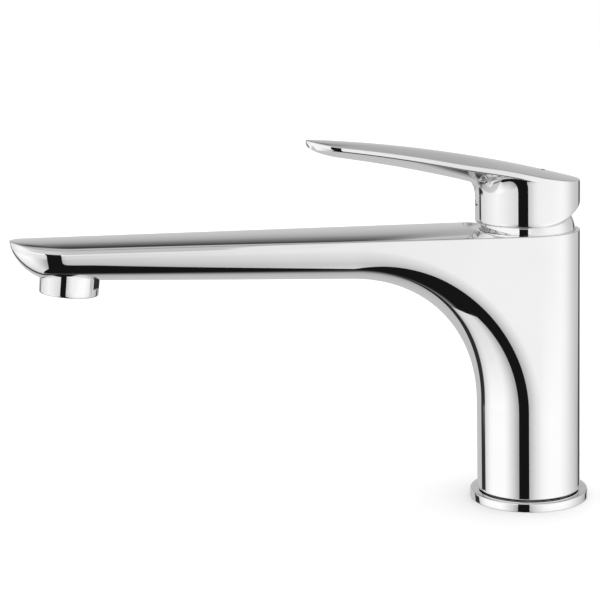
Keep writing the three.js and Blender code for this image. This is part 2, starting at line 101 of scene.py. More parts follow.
# ---- outlet ----
OUTLET_REACH = 219.4
OUTLET_Z = 112.2
OUTLET_TILT = math.radians(7)
OUTLET_GAP = 0.3
RECESS_DEPTH = 13.5     # recess for the aerator, and the narrower waterway above it
RECESS_BELOW = 8.0
WATERWAY_R = 12.0
WATERWAY_DEPTH = 19.4
AERATOR_R = 14.0
AERATOR_BORE_R = 11.5
AERATOR_COLLAR = 13.2   # height of the collar, and of the neck above it
AERATOR_TOP = 18.0
AERATOR_NECK_R = 11.7
AERATOR_WALL_Z = 8.0    # joint between the wall's lower and upper profile
AERATOR_MOUTH_R = 9.4   # opening at the top
AERATOR_MOUTH_Z = 16.6
AERATOR_SHOULDER_Z = 15.6
FLAT_Z = 3.8            # the collar's two wrench flats start at this height
FLAT_TURN = math.radians(67)
FLAT_HALF = 13.55

# ---- handle ----
LEVER_END = 106.0
LEVER_NOSE = 90.0       # reach where the tip's rounding starts
LEVER_SPINE = 60.0      # reach up to which the lever's outline is taken to face its middle line
LEVER_TAPER = 0.1675    # loss of half the width per millimetre of reach, and how gently it starts
LEVER_TAPER_EASE = 15.0
RIDGE_Z = 162.9         # height, slope and sag of the lever's ridge
RIDGE_RISE = 0.245
RIDGE_SAG = 0.00082
ROOT_CROWN = 0.10       # height of the lever's crown as a share of half its width
LEVER_CROWN = 0.155
LEVER_CROWN_START = 8.0     # reach where the crown starts to grow, and the run to its full height
LEVER_CROWN_RUN = 32.0
LEVER_BAND = 2.9        # height of the side band at the column, and its loss per millimetre of reach
LEVER_BAND_TAPER = 0.009
LEVER_EDGE_R = 0.5
LEVER_LEAN = 0.2        # how far the side band leans in, and the run outside the skirt to that
LEVER_LEAN_RUN = 3.0
KEEL = 11.5             # depth of the keel at the column, and its loss per millimetre of reach
KEEL_TAPER = 0.064
KEEL_RUN = 7.0          # the keel's full depth is this far outside the skirt
KEEL_POWER = 1.25       # its sharpness, 1 is a V
NECK_R = 4.0            # hollow rounding under the lever, and how far it runs down the skirt
NECK_DROP = 7.0
SKIRT_Z = 137.0
SKIRT_BORE_R = 22.9
SKIRT_RELIEF_R = 36.0
CAVITY_Z = 147.5        # cavity over the dome, which narrows above its shoulder
CAVITY_SHOULDER_Z = 144.0
CAVITY_R = 19.0
SOCKET_R = 7.6          # socket around the stem, which hangs into the cavity
SOCKET_Z = 145.0
PLUG_R = 4.7            # plug over the set screw, on the front of the skirt
PLUG_Z = 150.3
PLUG_FACE = 24.55
PLUG_DEPTH = 1.25
PLUG_GAP = 0.55         # groove around the plug
PLUG_SEAT = 23.0        # reach of the bottom of its seat
INDEX_Y = 7.6
INDEX_R = 1.2

# ---- dome and deck ring ----
DOME_R = 22.55
DOME_BASE_Z = 131.0
DOME_FOOT_Z = 131.5
DOME_HEIGHT = 15.6      # height above the base at which the dome's curve would close
DOME_POWER = 2.6
DOME_TOP_Z = 141.5
DOME_HOLE_R = 16.6      # hole for the stem, the hollow's top around it and the slope down to its bore
DOME_HOLLOW_Z = 139.9
DOME_SLOPE_R = 18.3
DOME_SLOPE_Z = 138.6
DOME_BORE_R = 20.4
DOME_BORE_Z = 135.0
RING_R = 28.6
RING_BORE_R = 17.3
RING_SEAT_R = 22.4
RING_Z = 4.4
RING_FLOOR_Z = 1.7


# ---- small tools ----
def mix(a, b, t):
    return a + (b - a) * t


def clamp01(t):
    return min(1.0, max(0.0, t))


def smooth(t):
    t = clamp01(t)
    return t * t * (3 - 2 * t)


def round_off(t, power):
    return max(0.0, 1 - clamp01(t) ** power) ** (1 / power)


def bezier(a, b, c, t):
    """A point on the curve that leaves a towards b and arrives at c from b."""
    a, b, c = np.asarray(a), np.asarray(b), np.asarray(c)
    return a * (1 - t) ** 2 + b * 2 * t * (1 - t) + c * t * t


def softened(points, radii, steps):
    """A [radius, height] profile whose inner points are rounded by the given radii."""
    points = [np.array(p, float) for p in points]
    out = [points[0]]
    for before, here, after, radius in zip(points, points[1:], points[2:], radii):
        if radius == 0:
            out.append(here)
            continue
        back = (before - here) / np.linalg.norm(before - here) * radius
        ahead = (after - here) / np.linalg.norm(after - here) * radius
        for i in range(steps + 1):
            out.append(bezier(here + back, here, here + ahead, i / steps))
    out.append(points[-1])
    return out


class Patchwork:
    """Collects quads from grids of points and welds them into one mesh."""

    def __init__(self):
        self.points = []
        self.faces = []

    def grid(self, rows, closed=False):
        """Quads between neighbouring rows of points; closed joins each row's end to its start."""
        start = len(self.points)
        columns = len(rows[0])
        for row in rows:
            self.points.extend(tuple(p) for p in row)
        for i in range(len(rows) - 1):
            for j in range(columns if closed else columns - 1):
                k = (j + 1) % columns
                low = start + i * columns
                high = low + columns
                self.faces.append((low + j, low + k, high + k, high + j))

    def object(self, name):
        mesh = bpy.data.meshes.new(name)
        mesh.from_pydata([Vector(p) * MM for p in self.points], [], self.faces)
        work = bmesh.new()
        work.from_mesh(mesh)
        bmesh.ops.remove_doubles(work, verts=work.verts, dist=2e-6)
        bmesh.ops.dissolve_degenerate(work, edges=work.edges, dist=1e-7)
        bmesh.ops.recalc_face_normals(work, faces=work.faces)
        work.to_mesh(mesh)
        work.free()
        mesh.shade_smooth()
        mesh.set_sharp_from_angle(angle=SHARP_ANGLE)
        piece = bpy.data.objects.new(name, mesh)
        bpy.context.scene.collection.objects.link(piece)
        return piece


def circle(radius, z, count):
    turns = [2 * math.pi * i / count for i in range(count)]
    return [(radius * math.cos(a), radius * math.sin(a), z) for a in turns]


def turned(name, profile, count, place=None):
    """A turned piece from a closed [radius, height] profile; place moves its points."""
    rows = [circle(r, z, count) for r, z in [*profile, profile[0]]]
    if place:
        rows = [[place(p) for p in row] for row in rows]
    patch = Patchwork()
    patch.grid(rows, closed=True)
    return patch.object(name)


def subtract(piece, cutter):
    """Cuts the cutter out of the piece, then removes the cutter."""
    cut = piece.modifiers.new("cut", "BOOLEAN")
    cut.operation = "DIFFERENCE"
    cut.solver = "EXACT"
    cut.object = cutter
    apply_modifiers(piece)
    bpy.data.objects.remove(cutter)


def apply_modifiers(piece):
    graph = bpy.context.evaluated_depsgraph_get()
    graph.update()
    mesh = bpy.data.meshes.new_from_object(piece.evaluated_get(graph))
    piece.modifiers.clear()
    piece.data = mesh
    mesh.shade_smooth()
    mesh.set_sharp_from_angle(angle=SHARP_ANGLE)


def inward_at(outline, i, spine):
    """Unit vector square to a closed plan outline at its point i, facing the middle line up to spine."""
    before, after = outline[i - 1], outline[(i + 1) % len(outline)]
    tangent = np.array([after[0] - before[0], after[1] - before[1]])
    inward = np.array([-tangent[1], tangent[0]]) / np.linalg.norm(tangent)
    x, s = outline[i][:2]
    if inward @ np.array([x, s - min(max(s, 0), spine)]) > 0:
        return -inward
    return inward


def ring_on_rays(points, radius, z):
    """A level ring of the given radius, with a point on the ray through each of the given points."""
    ring = []
    for x, y in points:
        reach = math.hypot(x, y)
        ring.append((x / reach * radius, y / reach * radius, z))
    return ring


def at_outlet(point):
    """From the outlet's own frame, +Z up its axis from the centre of the mouth, to the part's frame."""
    x, y, z = point
    c, s = math.cos(OUTLET_TILT), math.sin(OUTLET_TILT)
    return (x, c * y + s * z - OUTLET_REACH, -s * y + c * z + OUTLET_Z)


# ---- the casting ----
def top_edge(s):
    return RIM_Z + TOP_RISE * s


def under_line(s):
    return UNDER_Z + UNDER_RISE * (s - COLUMN_R) + UNDER_CURVE * (s - COLUMN_R) ** 2


def full_width(s):
    """Half the spout's width, without the rounding of its tip."""
    return COLUMN_R - TAPER * (math.hypot(s, TAPER_EASE) - TAPER_EASE)


def top_width(s):
    return full_width(s) * round_off((s - NOSE_TOP) / (SPOUT_END - NOSE_TOP), 2)


def crown_at(s, x):
    return CROWN * (1 - abs(x / full_width(s)) ** CROWN_POWER)


def top_surface(s, x):
    """Height of the crowned top, which sinks to a level seat around the dome."""
    rise = smooth((math.hypot(s, x) - SEAT_R) / SEAT_RUN)
    return top_edge(s) + crown_at(s, x) * rise if s > 0 else RIM_Z


def outline_height(s, x):
    """Height of the top's outline, without the seat."""
    return top_edge(s) + crown_at(s, x)


def underside(s):
    t = (s - NOSE_UNDER) / (SPOUT_END - NOSE_UNDER)
    return mix(under_line(s), top_edge(SPOUT_END) + CROWN, 1 - round_off(t, NOSE_POWER))


def column_section(z):
    return dict(inner=(COLUMN_R, z), outer=(0, z), corner=(0, z),
                width=COLUMN_R, edge=COLUMN_R, power=2.0)


def bend_section(angle, corner):
    """Section through the bend; the angle runs from 0 at the column to a quarter turn at its end."""
    s = BEND_END - (BEND_END - COLUMN_R) * math.cos(angle) ** (2 / BEND_POWER)
    rise = (UNDER_Z - BEND_Z) * math.sin(angle) ** (2 / BEND_POWER)
    reach = BEND_END * (1 - math.cos(angle))
    return dict(inner=(s, BEND_Z + rise + under_line(s) - UNDER_Z),
                outer=(reach, mix(BEND_Z, top_edge(BEND_END) - RIM_DROP, math.sin(angle))),
                corner=corner, width=full_width(reach), edge=full_width(corner[0]),
                power=mix(2, SIDE_POWER, math.sin(angle) ** 2))


def spout_section(s):
    width = top_width(s)
    top = outline_height(s, width)
    inner = min(underside(s), top)
    corner = (s, top - min(RIM_DROP, 0.4 * (top - inner)))
    return dict(inner=(s, min(inner, corner[1])), outer=corner, corner=corner,
                width=width, edge=width, power=SIDE_POWER)


def casting_sections():
    """Sections from the column's foot to the spout's tip: inner line, outer line, corner, widths."""
    upright, level, straight, nose = 56, 44, 48, 44
    sections = [column_section(z) for z in [COLUMN_Z + FOOT, *COLUMN_RINGS]]
    for i in range(upright + 1):
        height = mix(BEND_Z, RIM_Z - RIM_DROP, i / upright)
        sections.append(bend_section(QUARTER_TURN * i / (upright + level), (0, height)))
    for i in range(1, level):
        s = BEND_END * i / level
        angle = QUARTER_TURN * (upright + i) / (upright + level)
        sections.append(bend_section(angle, (s, top_edge(s) - RIM_DROP)))
    for i in range(straight):
        sections.append(spout_section(mix(BEND_END, NOSE_TOP, i / straight)))
    for i in range(nose + 1):
        sections.append(spout_section(mix(NOSE_TOP, SPOUT_END, math.sin(QUARTER_TURN * i / nose))))
    return sections


def side_point(section, v):
    """A point on one half of a section, from its inner line (v = 0) to its corner (v = 1)."""
    if v < SIDE_SHARE:
        f = math.cos(v / SIDE_SHARE * QUARTER_TURN)
        x = section["width"] * math.sqrt(max(0.0, 1 - f ** section["power"]))
        s = mix(section["outer"][0], section["inner"][0], f)
        z = mix(section["outer"][1], section["inner"][1], f)
        return (x, -s, z)
    t = (v - SIDE_SHARE) / (1 - SIDE_SHARE)
    x = mix(section["width"], section["edge"], t)
    s = mix(section["outer"][0], section["corner"][0], t)
    z = mix(section["outer"][1], section["corner"][1], t)
    return (x, -s, z)


def front_rows(sections):
    """The casting's front and underside, one row of points from side to side for each section."""
    across = 44
    rows = []
    for section in sections:
        half = [side_point(section, i / across) for i in range(across + 1)]
        rows.append([(-x, y, z) for x, y, z in reversed(half)] + half[1:])
    return rows


def top_outline(along, turns):
    """Closed outline of the top as (x, s, z), with the height of the side's end below each point."""
    right = [(section["edge"], *section["corner"]) for section in along]
    back = [(COLUMN_R * math.cos(a), -COLUMN_R * math.sin(a), RIM_Z - RIM_DROP) for a in turns]
    left = [(-x, s, z) for x, s, z in reversed(right[:-1])]
    outline = back[::-1] + right + left
    return [p for i, p in enumerate(outline) if i == 0 or math.dist(p, outline[i - 1]) > 1e-6]


def edge_lines(outline):
    """Three lines around the top edge: the facet's end, the corner, and the end of the rounding."""
    brow, corner, inset = [], [], []
    for i, (x, s, z) in enumerate(outline):
        inward = inward_at(outline, i, SPOUT_SPINE)
        height = RIM_Z if s <= 0 else outline_height(s, x)
        share = (height - z) / RIM_DROP
        lean = inward * share * FACET_IN * smooth((s - FACET_START) / FACET_RUN)
        bx, bs = np.array([x, s]) + lean
        cx, cs = np.array([bx, bs]) + lean * EDGE_R / FACET
        nx, ns = np.array([cx, cs]) + inward * EDGE_R
        brow.append((bx, bs, height - EDGE_R * share))
        corner.append((cx, cs, height))
        inset.append((nx, ns, top_surface(ns, nx)))
    return brow, corner, inset


def edge_rows(outline, brow, corner, inset):
    facet, rounding = 3, 6
    rows = [outline]
    for k in range(1, facet):
        rows.append([mix(np.array(a), np.array(b), k / facet) for a, b in zip(outline, brow)])
    for k in range(rounding + 1):
        rows.append([bezier(a, b, c, k / rounding) for a, b, c in zip(brow, corner, inset)])
    return [[(x, -s, z) for x, s, z in row] for row in rows]


def top_rows(inset):
    """The crowned top, as rings that shrink from its edge to the pocket's."""
    rings = 72
    rows = []
    for k in range(rings + 1):
        row = []
        for x, s, _ in inset:
            reach = math.hypot(x, s)
            gather = 1 + min(1.0, (reach - POCKET_R) / RAY_RUN)
            r = mix(POCKET_R + POCKET_LIP, reach, (1 - k / rings) ** gather)
            px, ps = x * r / reach, s * r / reach
            row.append((px, -ps, top_surface(ps, px)))
        rows.append(row)
    return rows


def chamber_profile():
    """The pocket, the thread and the chamber of the cartridge."""
    return softened([[POCKET_R + POCKET_LIP, RIM_Z], [POCKET_R, RIM_Z], [POCKET_R, POCKET_Z],
                     [THREAD_R, POCKET_Z], [THREAD_R, THREAD_Z], [CHAMBER_R, THREAD_Z],
                     [CHAMBER_R, CHAMBER_Z], [0.0, CHAMBER_Z]], [0.25, 0, 0.3, 0, 0, 0], steps=3)


def foot_profile():
    """The column's foot and the bore for the hoses."""
    return softened([[COLUMN_R, COLUMN_Z + FOOT], [COLUMN_R, COLUMN_Z], [BORE_R, COLUMN_Z],
                     [BORE_R, BORE_TAPER_Z], [BORE_TAPER_R, BORE_TOP], [0.0, BORE_TOP]],
                    [0.35, 0.3, 0, 0], steps=4)


def casting():
    patch = Patchwork()
    sections = casting_sections()
    front = front_rows(sections)
    patch.grid(front)

    upright = [section for section in sections if section["corner"][0] == 0]
    rear_steps = 64
    turns = [math.pi * i / rear_steps for i in range(rear_steps + 1)]
    rear = []
    for section in upright:
        z = section["corner"][1]
        rear.append([(COLUMN_R * math.cos(a), COLUMN_R * math.sin(a), z) for a in turns])
    patch.grid(rear)

    outline = top_outline(sections[len(upright):], turns)
    brow, corner, inset = edge_lines(outline)
    patch.grid(edge_rows(outline, brow, corner, inset), closed=True)
    patch.grid(top_rows(inset), closed=True)

    rays = [(x, -s) for x, s, _ in inset]
    patch.grid([ring_on_rays(rays, r, z) for r, z in chamber_profile()], closed=True)

    foot = front[0] + rear[0][1:-1]
    rays = [(x, y) for x, y, _ in foot]
    rings = [ring_on_rays(rays, r, z) for r, z in foot_profile()]
    patch.grid([foot, *rings], closed=True)
    return patch.object("spout_casting")


def cut_outlet(piece):
    profile = [[0.0, -RECESS_BELOW], [AERATOR_R + OUTLET_GAP, -RECESS_BELOW],
               [AERATOR_R + OUTLET_GAP, RECESS_DEPTH], [WATERWAY_R, RECESS_DEPTH],
               [WATERWAY_R, WATERWAY_DEPTH], [0.0, WATERWAY_DEPTH]]
    subtract(piece, turned("outlet_cutter", profile, count=96, place=at_outlet))


# ---- the handle ----
def lever_ridge(s):
    return RIDGE_Z + RIDGE_RISE * s - RIDGE_SAG * s * s


def lever_full_width(s):
    """Half the lever's width, without the rounding of its tip."""
    return COLUMN_R - LEVER_TAPER * (math.hypot(max(0.0, s), LEVER_TAPER_EASE) - LEVER_TAPER_EASE)


def lever_top(s, x):
    width = lever_full_width(s)
    grown = smooth((s - LEVER_CROWN_START) / LEVER_CROWN_RUN)
    crown = width * mix(ROOT_CROWN, LEVER_CROWN, grown)
    return lever_ridge(s) - crown * (x / width) ** 2


def lever_tip(s):
    """Share of the full width and keel that the rounding of the tip leaves."""
    return round_off((s - LEVER_NOSE) / (LEVER_END - LEVER_NOSE), 2)


def lever_width(s):
    return lever_full_width(s) * lever_tip(s)


def lever_band(s):
    return LEVER_BAND - LEVER_BAND_TAPER * max(0.0, s)


def lever_keel(s):
    return (KEEL - KEEL_TAPER * s) * lever_tip(s)


def skirt_edge(s):
    """Height of the skirt's lower edge, which is relieved at the back."""
    if s >= 0:
        return SKIRT_Z
    return SKIRT_Z + SKIRT_RELIEF_R - math.sqrt(SKIRT_RELIEF_R ** 2 - s * s)


def handle_outline():
    """Closed plan outline of the handle, from the lever's tip round to the tip again."""
    tip, straight, rear = 36, 84, 44
    half = []
    for i in range(tip):
        s = mix(LEVER_NOSE, LEVER_END, math.cos(i / tip * QUARTER_TURN))
        half.append((lever_width(s), s))
    for i in range(straight):
        s = LEVER_NOSE * (1 - i / straight)
        half.append((lever_width(s), s))
    for i in range(rear + 1):
        a = i / rear * QUARTER_TURN
        half.append((COLUMN_R * math.cos(a), -COLUMN_R * math.sin(a)))
    mirrored = [(-x, s) for x, s in reversed(half[1:-1])]
    return half + mirrored


def lever_underside(s, x, share):
    """Height under the lever at the given share of the way from the axis to the outline point."""
    reach = math.hypot(x, s)
    fade = smooth((reach - COLUMN_R) / KEEL_RUN) if s > 0 else 0.0
    width = max(lever_full_width(s * share), 1e-6)
    dip = fade * lever_keel(s * share) * (1 - min(1.0, abs(x * share) / width) ** KEEL_POWER)
    return lever_top(s * share, x) - lever_band(s * share) - dip


def handle():
    outline = handle_outline()
    profiles = []
    for i, (x, s) in enumerate(outline):
        inward = inward_at(outline, i, LEVER_SPINE)
        lean = LEVER_LEAN * clamp01((math.hypot(x, s) - COLUMN_R) / LEVER_LEAN_RUN)
        edge = np.array([x, s]) + inward * lean
        profiles.append(handle_profile(x, s, edge, edge + inward * LEVER_EDGE_R))
    patch = Patchwork()
    rows = [[profile[k] for profile in profiles] for k in range(len(profiles[0]))]
    patch.grid(rows, closed=True)
    return patch.object("lever_handle")


def handle_profile(x, s, edge, inset):
    """Points down one side of the handle, from the top's centre to the cavity's centre."""
    points = []
    top_steps, edge_steps, band_steps, low_steps = 44, 5, 3, 4
    under_steps, neck_steps, wall_steps = 30, 10, 10

    def put(px, ps, z):
        points.append((px, -ps, z))

    # The crowned top and the rounding of its edge.
    for k in range(top_steps):
        t = k / top_steps
        put(inset[0] * t, inset[1] * t, lever_top(inset[1] * t, inset[0] * t))
    height = lever_top(s, x)
    below = height - LEVER_EDGE_R
    start = (inset[0], inset[1], lever_top(inset[1], inset[0]))
    for k in range(edge_steps + 1):
        put(*bezier(start, (*edge, height), (*edge, below), k / edge_steps))

    # The side band and the rounding of its lower edge.
    reach = math.hypot(x, s)
    wall = COLUMN_R / reach
    ledge = reach - COLUMN_R
    foot = height - lever_band(s)
    low = min(LEVER_EDGE_R, 0.4 * ledge)
    for k in range(1, band_steps):
        put(*mix(np.array([*edge, below]), np.array([x, s, foot + low]), k / band_steps))
    first = 1 - low / reach
    end = (x * first, s * first, lever_underside(s, x, first))
    for k in range(low_steps + 1):
        put(*bezier((x, s, foot + low), (x, s, foot), end, k / low_steps))

    # The underside, and the hollow rounding where it meets the skirt.
    neck = min(NECK_R, 0.7 * ledge)
    drop = NECK_DROP * round_off(1 - ledge / NECK_R, 2)
    last = (COLUMN_R + neck) / reach
    for k in range(1, under_steps):
        share = mix(first, last, k / under_steps)
        put(x * share, s * share, lever_underside(s, x, share))
    corner = lever_underside(s, x, wall)
    wx, ws = x * wall, s * wall
    start = (x * last, s * last, lever_underside(s, x, last))
    for k in range(neck_steps + 1):
        put(*bezier(start, (wx, ws, corner), (wx, ws, corner - drop), k / neck_steps))

    # The skirt, its lower edge and the cavity inside it.
    bottom = skirt_edge(ws)
    lip = 0.5
    for k in range(1, wall_steps):
        put(wx, ws, mix(corner - drop, bottom + lip, k / wall_steps))
    for r, z in softened([[COLUMN_R, bottom + lip], [COLUMN_R, bottom],
                          [SKIRT_BORE_R, skirt_edge(ws * SKIRT_BORE_R / COLUMN_R)],
                          [SKIRT_BORE_R, CAVITY_SHOULDER_Z], [CAVITY_R, CAVITY_Z],
                          [SOCKET_R, CAVITY_Z], [SOCKET_R, SOCKET_Z], [0.0, SOCKET_Z]],
                         [lip, 0.3, 0.4, 0.8, 0.8, 0.3], steps=4):
        put(wx / COLUMN_R * r, ws / COLUMN_R * r, z)
    return points


# ---- turned pieces ----
def dome_radius(z):
    return DOME_R * (1 - ((z - DOME_BASE_Z) / DOME_HEIGHT) ** DOME_POWER) ** (1 / DOME_POWER)


def dome():
    steps, edge = 24, 0.4
    outer = []
    for i in range(steps + 1):
        z = mix(DOME_FOOT_Z, DOME_TOP_Z - edge, i / steps)
        outer.append([dome_radius(z), z])
    rim = softened([outer[-1], [dome_radius(DOME_TOP_Z) - 0.2, DOME_TOP_Z],
                    [DOME_HOLE_R, DOME_TOP_Z], [DOME_HOLE_R, DOME_HOLLOW_Z],
                    [DOME_SLOPE_R, DOME_SLOPE_Z], [DOME_BORE_R, DOME_BORE_Z],
                    [DOME_BORE_R, DOME_FOOT_Z]], [edge, edge, 0.3, 0.5, 0.5], steps=4)
    return turned("cartridge_dome", outer + rim[1:], count=160)


def deck_ring():
    profile = softened([[RING_BORE_R, RING_FLOOR_Z], [RING_BORE_R, 0.0], [RING_R, 0.0],
                        [RING_R, RING_Z], [RING_SEAT_R, RING_Z], [RING_SEAT_R, RING_FLOOR_Z],
                        [RING_BORE_R + 0.2, RING_FLOOR_Z]], [0.3, 0.4, 0.7, 0.2, 0.1], steps=6)
    return turned("deck_ring", profile, count=192)


def wrench_flats(point):
    """Moves a point of the aerator's wall back to the two flats that a wrench holds it by."""
    x, y, z = point
    if not FLAT_Z < z < AERATOR_COLLAR + 1:
        return point
    c, s = math.cos(FLAT_TURN), math.sin(FLAT_TURN)
    along, across = x * c + y * s, -x * s + y * c
    along = min(FLAT_HALF, max(-FLAT_HALF, along))
    return (along * c - across * s, along * s + across * c, z)


def aerator_collar():
    wall = [[AERATOR_R, z] for z in (FLAT_Z - 0.2, FLAT_Z - 0.01, FLAT_Z + 0.01, AERATOR_WALL_Z)]
    lower = softened([[AERATOR_BORE_R, 1.0], [AERATOR_BORE_R, 0.0], [AERATOR_R, 0.0],
                      [AERATOR_R, 3.0]], [0.3, 0.9], steps=6)
    upper = softened([[AERATOR_R, AERATOR_WALL_Z], [AERATOR_R, AERATOR_COLLAR],
                      [AERATOR_NECK_R, AERATOR_COLLAR], [AERATOR_NECK_R, AERATOR_TOP],
                      [AERATOR_MOUTH_R, AERATOR_TOP], [AERATOR_MOUTH_R, AERATOR_MOUTH_Z],
                      [AERATOR_BORE_R, AERATOR_SHOULDER_Z], [AERATOR_BORE_R, AERATOR_WALL_Z]],
                     [0.4, 0.1, 0.3, 0.3, 0.2, 0.3], steps=4)
    profile = lower + wall + upper[1:]
    return turned("aerator_collar", profile, count=192, place=lambda p: at_outlet(wrench_flats(p)))


def index_button():
    """The slightly domed round inlay in the top of the lever."""
    steps, depth, rise = 8, 0.8, 0.25
    profile = [[0.0, -depth], [INDEX_R, -depth], [INDEX_R, 0.0]]
    for i in range(1, steps + 1):
        a = i / steps * QUARTER_TURN
        profile.append([INDEX_R * math.cos(a), rise * math.sin(a)])
    tilt = math.atan(RIDGE_RISE)
    c, s = math.cos(tilt), math.sin(tilt)

    def place(p):
        return (p[0], INDEX_Y + c * p[1] + s * p[2], lever_ridge(-INDEX_Y) - s * p[1] + c * p[2])
    return turned("index_button", profile, count=48, place=place)


def screw_plug():
    """The round plug over the handle's set screw, flat and facing along the lever."""
    profile = softened([[0.0, 0.0], [PLUG_R, 0.0], [PLUG_R, PLUG_DEPTH], [0.0, PLUG_DEPTH]],
                       [0.1, 0.35], steps=4)

    def place(p):
        return (p[0], PLUG_DEPTH - PLUG_FACE - p[2], PLUG_Z + p[1])
    return turned("plug", profile, count=64, place=place)


def cut_plug_seat(piece):
    outside = COLUMN_R + 3
    profile = [[0.0, PLUG_SEAT], [PLUG_R + PLUG_GAP, PLUG_SEAT], [PLUG_R + PLUG_GAP, outside],
               [0.0, outside]]
    cutter = turned("plug_cutter", profile, count=64, place=lambda p: (p[0], -p[2], PLUG_Z + p[1]))
    subtract(piece, cutter)


# ---- materials ----
class Recipe:
    """A Principled material with procedural inputs."""

    def __init__(self, name, colour, metallic, roughness):
        self.material = bpy.data.materials.new(name)
        self.material.use_nodes = True
        self.nodes = self.material.node_tree.nodes
        self.links = self.material.node_tree.links
        self.shader = self.nodes["Principled BSDF"]
        self.shader.inputs["Base Color"].default_value = (*colour, 1)
        self.shader.inputs["Metallic"].default_value = metallic
        self.shader.inputs["Roughness"].default_value = roughness
        self.place = self.nodes.new("ShaderNodeTexCoord").outputs["Object"]

    def noise(self, scale, detail, stretch=(1, 1, 1)):
        mapping = self.nodes.new("ShaderNodeMapping")
        mapping.inputs["Scale"].default_value = stretch
        self.links.new(self.place, mapping.inputs["Vector"])
        noise = self.nodes.new("ShaderNodeTexNoise")
        noise.inputs["Scale"].default_value = scale
        noise.inputs["Detail"].default_value = detail
        self.links.new(mapping.outputs["Vector"], noise.inputs["Vector"])
        return noise.outputs["Fac"]

    def spread(self, source, low, high):
        span = self.nodes.new("ShaderNodeMapRange")
        span.inputs["From Min"].default_value = 0.3
        span.inputs["From Max"].default_value = 0.7
        span.inputs["To Min"].default_value = low
        span.inputs["To Max"].default_value = high
        self.links.new(source, span.inputs["Value"])
        return span.outputs["Result"]

    def roughness(self, source, low, high):
        self.links.new(self.spread(source, low, high), self.shader.inputs["Roughness"])

    def colour(self, source, dark, light):
        blend = self.nodes.new("ShaderNodeMix")
        blend.data_type = "RGBA"
        blend.inputs["A"].default_value = (*dark, 1)
        blend.inputs["B"].default_value = (*light, 1)
        self.links.new(self.spread(source, 0.0, 1.0), blend.inputs["Factor"])
        self.links.new(blend.outputs["Result"], self.shader.inputs["Base Color"])

    def bump(self, source, strength, distance):
        bump = self.nodes.new("ShaderNodeBump")
        bump.inputs["Strength"].default_value = strength
        bump.inputs["Distance"].default_value = distance
        self.links.new(source, bump.inputs["Height"])
        self.links.new(bump.outputs["Normal"], self.shader.inputs["Normal"])


def chrome():
    """Polished chrome plate: almost a mirror, with a faint unevenness from the polishing wheel."""
    recipe = Recipe("chrome_plate", (0.94, 0.94, 0.94), 1.0, 0.03)
    recipe.colour(recipe.noise(60, 3), (0.93, 0.93, 0.932), (0.95, 0.95, 0.952))
    recipe.roughness(recipe.noise(400, 3), 0.02, 0.05)
    recipe.bump(recipe.noise(35, 1), 0.02, 0.0002)
    return recipe.material


def brass():
    recipe = Recipe("machined_brass", (0.72, 0.58, 0.34), 1.0, 0.3)
    recipe.colour(recipe.noise(90, 4), (0.62, 0.47, 0.24), (0.76, 0.62, 0.38))
    recipe.roughness(recipe.noise(300, 3, (1, 1, 12)), 0.22, 0.42)
    recipe.bump(recipe.noise(500, 2, (0.2, 0.2, 12)), 0.15, 0.00005)
    return recipe.material


def steel():
    recipe = Recipe("turned_steel", (0.62, 0.63, 0.64), 1.0, 0.3)
    recipe.colour(recipe.noise(120, 3), (0.52, 0.53, 0.54), (0.68, 0.69, 0.7))
    recipe.roughness(recipe.noise(400, 3), 0.2, 0.4)
    recipe.bump(recipe.noise(900, 2), 0.15, 0.00004)
    return recipe.material


def rubber():
    recipe = Recipe("moulded_rubber", (0.03, 0.03, 0.032), 0.0, 0.7)
    recipe.colour(recipe.noise(200, 4), (0.022, 0.022, 0.024), (0.045, 0.045, 0.047))
    recipe.roughness(recipe.noise(500, 3), 0.55, 0.8)
    recipe.bump(recipe.noise(1500, 3), 0.3, 0.00005)
    return recipe.material


def plastic(name, dark, light, smoothness):
    recipe = Recipe(name, light, 0.0, smoothness)
    recipe.colour(recipe.noise(150, 4), dark, light)
    recipe.roughness(recipe.noise(600, 3), smoothness - 0.06, smoothness + 0.08)
    recipe.bump(recipe.noise(1200, 3), 0.15, 0.00004)
    return recipe.material


FINISHES = {
    "chrome": chrome(),
    "brass": brass(),
    "steel": steel(),
    "rubber": rubber(),
    "white_plastic": plastic("white_acetal", (0.72, 0.72, 0.7), (0.82, 0.82, 0.8), 0.4),
    "dark_plastic": plastic("dark_moulding", (0.035, 0.04, 0.045), (0.055, 0.06, 0.067), 0.35),
    "ceramic": plastic("lapped_ceramic", (0.78, 0.76, 0.72), (0.88, 0.86, 0.82), 0.15),
}


def dress_nodes():
    """Gives every CAD node the finish of its slot in the record."""
    slots = {row["node"]: row["material_slot"] for row in frame["record"]["subparts"]}
    for name, node in frame["nodes"].items():
        node.data.materials.clear()
        node.data.materials.append(FINISHES[slots[name]])


def finish_piece(piece, body, slot, node):
    """Gives a piece its finish, and lets it ride on a body in place of a CAD node."""
    piece.data.materials.clear()
    piece.data.materials.append(FINISHES[slot])
    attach(piece, body)
    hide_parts(node)


# ---- studio ----
CAMERA_TURN = math.radians(14)          # the camera stands this far round from +X towards the spout
CAMERA_PLACE = (822.0, 257.5)           # distance from the column's axis and height, mm
CAMERA_PAN = math.radians(7.69)
CAMERA_PITCH = math.radians(10.86)
CAMERA_ROLL = math.radians(-1.67)
CAMERA_LENS = 103.08

TOWARDS = Vector((math.cos(CAMERA_TURN), -math.sin(CAMERA_TURN), 0))
ACROSS = Vector((math.sin(CAMERA_TURN), math.cos(CAMERA_TURN), 0))
UP = Vector((0, 0, 1))


